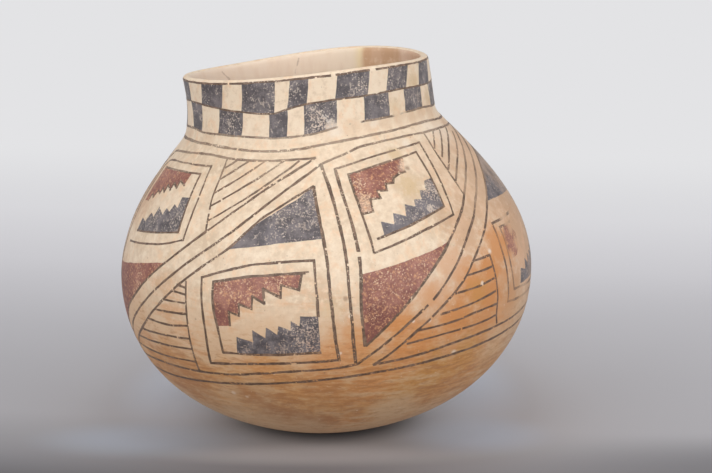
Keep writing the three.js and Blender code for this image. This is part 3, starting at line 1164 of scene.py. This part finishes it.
def slip_colour(finish):
    """Cream slip thinning over tan clay, burnished in level strokes, clouded by the fire, and with
    painted shade down both sides.
    """
    broad = finish.grain(26, detail=5)
    fine = finish.grain(3.6, detail=6, roughness=0.7, shift=1)
    level = finish.grain(7, detail=6, roughness=0.66, stretch=(0.35, 0.35, 2.2), shift=2)
    peach = finish.grain(6, detail=6, roughness=0.7, stretch=(1, 1, 0.7), shift=7)
    burnish = finish.grain(2.6, detail=6, roughness=0.75, stretch=(0.45, 0.45, 1.6), shift=10)
    height = finish.plus(finish.height, finish.times(finish.centred(broad), TONE_DRIFT))
    fired = finish.span(finish.plus(broad, finish.times(level, 0.5)), 0.76, 0.94, 0, 0.6)
    low = finish.span(finish.height, *LEVEL_STROKES)
    below = finish.span(height, *BURNISH_STROKES)
    return finish.layered(CREAM, [
        (finish.span(broad, 0.4, 0.66), CREAM_DIM),
        (finish.span(height, *NECK_TONE), NECK_CREAM),
        (finish.span(fine, 0.46, 0.66, 0, 0.7), CREAM_PALE),
        (finish.span(fine, 0.5, 0.34, 0, 0.6), CREAM_DIM),
        (finish.span(peach, 0.48, 0.68, 0, 0.7), CREAM_PEACH),
        (finish.span(height, *TAN_TONE), TAN),
        (finish.marks(PINK_CLOUDS), PINK),
        (finish.span(height, *OCHRE_TONE), OCHRE),
        (finish.times(fired, finish.span(height, *ORANGE_CLOUDING)), ORANGE),
        # brown fire clouds, and painted shade down both sides of the jar
        (finish.marks(BROWN_CLOUDS_AND_SIDE_SHADE), BROWN_AND_SIDE_SHADE),
        (finish.marks(ORANGE_CLOUDS, 1.2), ORANGE),
        (finish.marks(GOLD_CLOUDS), GOLD),
        (finish.marks(TAN_STAINS), TAN),
        (finish.times(finish.span(level, 0.47, 0.62, 0, 0.7), low), OCHRE_DARK),
        (finish.times(finish.span(level, 0.5, 0.34, 0, 0.75), low), BUFF),
        (finish.marks(DARK_CLOUDS), OCHRE_DARK),
        (finish.span(height, *FOOT_TONE, 0, 0.8), BUFF),
        (finish.marks(BUFF_CLOUDS), BUFF),
        (finish.times(finish.span(burnish, 0.5, 0.66, 0, 0.6), below), OCHRE_DARK),
        (finish.times(finish.span(burnish, 0.5, 0.34, 0, 0.5), below), BUFF),
        (finish.times(finish.marks(YELLOW_STAINS), 0.8), YELLOWED),
        (finish.marks(SCUFFS), CHALK),
        (finish.marks(BROWN_SPOTS), PORE),
    ])


def outside_slip():
    """The slip of the outside, with open pores and chalky specks."""
    finish = Finish("cream_slip")
    pores = finish.span(finish.grain(1.3, detail=2, shift=3), 0.71, 0.77)
    specks = finish.span(finish.grain(1.1, detail=2, shift=4), 0.7, 0.76, 0, 0.6)
    pitted = [(finish.times(pores, 0.7), PORE), (specks, CHALK)]
    finish.coloured(finish.layered(slip_colour(finish), pitted), SLIP_ROUGHNESS)
    strokes = finish.grain(3.2, detail=5, stretch=(0.2, 0.2, 1.6), shift=6)
    finish.bumped(finish.less(strokes, pores), SLIP_RELIEF)
    return finish.material


# Tone of the inside, by place around
INSIDE_TONES = [
    (0, (240, 220, 200)), (72, (236, 214, 194)), (92, (204, 166, 136)), (112, (214, 176, 148)),
    (122, (224, 192, 168)), (127, (204, 164, 130)), (149, (208, 166, 130)), (153, (240, 218, 176)),
    (158, (242, 222, 198)), (200, (240, 218, 196)), (300, (238, 216, 196)),
]
INSIDE_PLAIN = rgb(228, 204, 180)
INSIDE_STREAK = rgb(226, 196, 168)
INSIDE_WIPED = (145, 168)
INSIDE_CRACKS = [((185.6, 262.4), (189.2, 254)), ((232.2, 262), (228.2, 257.5))]
CRACK_WIDTH = 0.8
CRACK_WAVER = 2.5


def inside_slip():
    """Thinner slip inside, streaked where the rim was wiped, with two hairline cracks."""
    finish = Finish("inside_slip")
    across = finish.less(finish.x, formed(Vector((0, 0, NECK_FOOT_HEIGHT))).x)
    place = finish.math("ARCTAN2", across, finish.times(finish.y, -1))
    wander = finish.centred(finish.grain(10, detail=4, stretch=(1, 1, 0.3)))
    place = finish.plus(place, finish.times(wander, 0.15))
    share = finish.math("FRACT", finish.math("DIVIDE", place, math.tau))
    bands = finish.ramp(share, [(around / 360, rgb(*tone)) for around, tone in INSIDE_TONES])
    streaks = finish.grain(7, detail=5, stretch=(1, 1, 0.35), shift=3)
    mottle = finish.grain(3, detail=5, roughness=0.65, shift=8)
    colour = finish.layered(INSIDE_PLAIN, [
        (finish.span(finish.height, *INSIDE_WIPED), bands),
        (finish.span(streaks, 0.45, 0.66, 0, 0.35), INSIDE_STREAK),
        (finish.span(mottle, 0.5, 0.68, 0, 0.3), NECK_CREAM),
    ])
    for crack in INSIDE_CRACKS:
        ends = [on_wall(around, along, -LIP_WALL) for around, along in crack]
        dark = finish.times(finish.stroke(*ends, CRACK_WIDTH, CRACK_WAVER), 0.4)
        colour = finish.mixed(dark, colour, PORE)
    finish.coloured(colour, INSIDE_ROUGHNESS)
    finish.bumped(streaks, INSIDE_RELIEF)
    return finish.material


def worn_through(finish, rubbed, size, shift):
    """Share of bare slip: pinholes all over, and more of them where hands rubbed the paint."""
    rub = finish.times(finish.marks(rubbed), 0.11)
    uneven = finish.span(finish.grain(13, detail=4, shift=shift), 0.38, 0.66, -0.02, 0.07)
    speck = finish.grain(size, detail=3, roughness=0.6, shift=shift + 1)
    return finish.span(finish.plus(speck, finish.plus(rub, uneven)), 0.6, 0.72)


def black_paint():
    """The black fills: uneven, scratched, rubbed through to the slip in places, and with a painted
    bluish sheen on some.
    """
    finish = Finish("black_paint")
    tone = finish.grain(6, detail=6, roughness=0.72)
    slip = slip_colour(finish)
    colour = finish.layered(BLACK, [
        (finish.span(tone, 0.38, 0.64), BLACK_FADED),
        # faded grey, and a painted bluish sheen
        (finish.marks(GREYED_BLACK_AND_SHEEN), BLACK_GREYED_AND_SHEEN),
        (finish.marks(THIN_BLACK), slip),
    ])
    scratches = finish.hairlines(3, 0.04, stretch=(1, 0.6, 0.7), shift=9)
    worn = worn_through(finish, RUBBED_BLACK, 0.8, 4)
    worn = finish.math("MAXIMUM", worn, finish.times(scratches, 0.65))
    bare = finish.mixed(0.5, slip, BLACK_SCUFFED)
    finish.coloured(finish.mixed(worn, colour, bare), BLACK_ROUGHNESS)
    finish.bumped(finish.less(1, worn), PAINT_RELIEF)
    return finish.material


def red_paint():
    """The dull red fills: stained, and worn through to the slip in places."""
    finish = Finish("red_paint")
    tone = finish.grain(8, detail=6, roughness=0.7, shift=3)
    stain = finish.grain(1.5, detail=4, roughness=0.7, shift=5)
    slip = slip_colour(finish)
    colour = finish.layered(RED, [
        (finish.span(tone, 0.38, 0.66), RED_FADED),
        (finish.marks(DEEP_RED), RED_DEEP),
        (finish.marks(THIN_RED), slip),
        (finish.span(stain, 0.49, 0.69, 0, 0.85), RED_STAIN),
    ])
    worn = worn_through(finish, RUBBED_RED, 0.85, 12)
    bare = finish.mixed(0.35, slip, RED_STAIN)
    finish.coloured(finish.mixed(worn, colour, bare), RED_ROUGHNESS)
    finish.bumped(finish.less(1, worn), PAINT_RELIEF)
    return finish.material


def line_paint():
    """The brown-black of the brush lines, thin where the brush ran dry."""
    finish = Finish("line_paint")
    tone = finish.grain(3.5, detail=5, roughness=0.7, shift=2)
    slip = slip_colour(finish)
    colour = finish.layered(LINE_BLACK, [
        (finish.span(tone, 0.4, 0.68), LINE_FADED),
        (finish.marks(THIN_LINES), slip),
        (worn_through(finish, RUBBED_LINES, 0.9, 7), slip),
    ])
    finish.coloured(colour, BLACK_ROUGHNESS)
    return finish.material


# The stage

CAMERA_DISTANCE = 900
CAMERA_RISE = math.radians(11.79)
CAMERA_LENS = 88.85
SENSOR_WIDTH = 36
PICTURE_WIDTH = 712
PICTURE_HEIGHT = 473
AIM_HEIGHT = 84
AIM_PIXEL = (326.2, 262.2)
PIXELS_PER_MM = 410 / 210  # of the belly
CAMERA_NEAREST = 50
CAMERA_FARTHEST = 40000
BACKDROP = rgb(227, 227, 229)

# Lamps, in metres and watts: place, what it is aimed at, breadth, power
LAMPS = {
    "left_lamp": ((-1.5, -1.4, 0.7), (0, 0, 0.09), 1.4, 13.5),
    "right_lamp": ((1.6, -1.3, 0.7), (0, 0, 0.09), 1.4, 13.5),
    "front_lamp": ((0, -2.1, 0.75), (0, 0, 0.09), 1.6, 12),
    "overhead_lamp": ((0, -0.3, 1.8), (0, 0, 0.1), 1.3, 4.8),
}
ROOM_LIGHT = (0.96, 0.97, 1, 1)
ROOM_STRENGTH = 0.5

# The floor, and its grey by depth behind the jar
FLOOR_RADIUS = 7000
FLOOR_SEGMENTS = 64
FLOOR_NEAR = -200
FLOOR_FAR = 1300
FLOOR_GREYS = [
    (-116, 102), (-75, 145), (-10, 181), (87, 192), (205, 208), (355, 227), (551, 239), (1026, 229),
]
FLOOR_SLANT = 0.12
FLOOR_INTO_ROOM = (250, 900)  # depth over which the floor passes into the backdrop

# Soft patches painted on the floor: middle, reach sideways and in depth, grey, coolness, strength
# The first and the third to sixth are painted light: paler floor in front of and beside the jar,
# where its shade falls. The second darkens the front right. The last is a painted contact shadow
# under the jar.
FLOOR_LIGHT_AND_SHADOW_PATCHES = [
    (0, -62, 90, 22, 186, 0, 0.9), (240, -88, 180, 66, 108, 0, 0.6),
    (68, 50, 48, 110, 235, 15, 0.7), (75, -30, 50, 40, 212, 20, 0.4),
    (-72, 45, 45, 95, 235, 13, 0.55), (-85, -38, 70, 36, 202, 16, 0.4),
    (4, -4, 56, 50, 24, 0, 1),
]


def camera():
    """Stands so that the jar's axis falls on its place in the picture."""
    back = Vector((0, -math.cos(CAMERA_RISE), math.sin(CAMERA_RISE)))
    up = Vector((0, math.sin(CAMERA_RISE), math.cos(CAMERA_RISE)))
    right = (AIM_PIXEL[0] - PICTURE_WIDTH / 2) / PIXELS_PER_MM
    above = (PICTURE_HEIGHT / 2 - AIM_PIXEL[1]) / PIXELS_PER_MM
    x, z = leaned(0, AIM_HEIGHT)
    place = Vector((x - REST_MIDDLE, 0, z - REST_LEVEL)) + CAMERA_DISTANCE * back
    place -= right * Vector((1, 0, 0)) + above * up
    data = bpy.data.cameras.new("camera")
    data.lens = CAMERA_LENS
    data.sensor_width = SENSOR_WIDTH
    data.clip_start = CAMERA_NEAREST * MM
    data.clip_end = CAMERA_FARTHEST * MM
    seen = bpy.data.objects.new("camera", data)
    seen.location = place * MM
    seen.rotation_euler = (math.pi / 2 - CAMERA_RISE, 0, 0)
    bpy.context.scene.collection.objects.link(seen)
    bpy.context.scene.camera = seen


def floor_grey(grey, cool=0):
    """A grey of the floor, painted cooler where the jar throws its warm light on it."""
    return rgb(grey + 1 - cool, grey - 1, grey + 2 + cool)


def floor():
    """A pale sweep: darker in front, as light as the room where it is far off, with painted shadow
    and painted light round the jar.
    """
    bm = bmesh.new()
    bmesh.ops.create_circle(bm, cap_ends=True, radius=FLOOR_RADIUS, segments=FLOOR_SEGMENTS)
    finish = Finish("studio_floor")
    depth = finish.plus(finish.y, finish.times(finish.x, FLOOR_SLANT))
    node = finish.tree.nodes.new("ShaderNodeMapRange")
    node.inputs["From Min"].default_value = FLOOR_NEAR
    node.inputs["From Max"].default_value = FLOOR_FAR
    finish.feed(node.inputs["Value"], depth)
    reach = FLOOR_FAR - FLOOR_NEAR
    greys = [((at - FLOOR_NEAR) / reach, floor_grey(grey)) for at, grey in FLOOR_GREYS]
    colour = finish.ramp(node.outputs["Result"], greys)
    # Painted light and shadow: pale patches where the jar's shade falls, and a dark contact shadow
    # under it
    for x, y, wide, deep, grey, cool, strength in FLOOR_LIGHT_AND_SHADOW_PATCHES:
        offset = finish.vector("SUBTRACT", finish.place, (x, y, 0))
        away = finish.vector("LENGTH", finish.vector("MULTIPLY", offset, (1 / wide, 1 / deep, 0)))
        share = finish.span(away, 1, 0.2, 0, strength)
        colour = finish.mixed(share, colour, floor_grey(grey, cool))
    finish.coloured(colour, FLOOR_ROUGHNESS)
    rays = finish.tree.nodes.new("ShaderNodeLightPath").outputs
    seen = finish.math("MAXIMUM", rays["Is Camera Ray"], rays["Is Glossy Ray"])
    seen = finish.math("MAXIMUM", seen, rays["Is Transmission Ray"])
    far = finish.times(seen, finish.span(depth, *FLOOR_INTO_ROOM))
    glow = finish.tree.nodes.new("ShaderNodeEmission")
    glow.inputs["Color"].default_value = BACKDROP
    both = finish.tree.nodes.new("ShaderNodeMixShader")
    finish.feed(both.inputs[0], far)
    finish.feed(both.inputs[1], finish.shader.outputs[0])
    finish.feed(both.inputs[2], glow.outputs[0])
    finish.feed(finish.tree.nodes["Material Output"].inputs["Surface"], both.outputs[0])
    finished(bm, "floor", finish.material)


def lamp(name, place, aim, breadth, power):
    """A round lamp that is aimed at a point."""
    data = bpy.data.lights.new(name, "AREA")
    data.shape = "DISK"
    data.size = breadth
    data.energy = power
    thing = bpy.data.objects.new(name, data)
    thing.location = place
    thing.rotation_euler = (Vector(aim) - Vector(place)).to_track_quat("-Z", "Y").to_euler()
    bpy.context.scene.collection.objects.link(thing)


def surroundings():
    """Even light from all round, and broad soft lamps on both sides, in front and overhead."""
    world = bpy.data.worlds.new("studio")
    bpy.context.scene.world = world
    world.use_nodes = True
    background = world.node_tree.nodes["Background"]
    background.inputs["Color"].default_value = ROOM_LIGHT
    background.inputs["Strength"].default_value = ROOM_STRENGTH
    for name, (place, aim, breadth, power) in LAMPS.items():
        lamp(name, place, aim, breadth, power)


camera()
surroundings()
floor()
black, red, line = black_paint(), red_paint(), line_paint()
wall = jar_wall(outside_slip(), inside_slip())
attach(wall, "root")
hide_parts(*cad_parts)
neck_pieces(black, line)
for name in SECTIONS:
    section_pieces(name, black, red, line)

bpy.context.scene.view_settings.view_transform = "Standard"
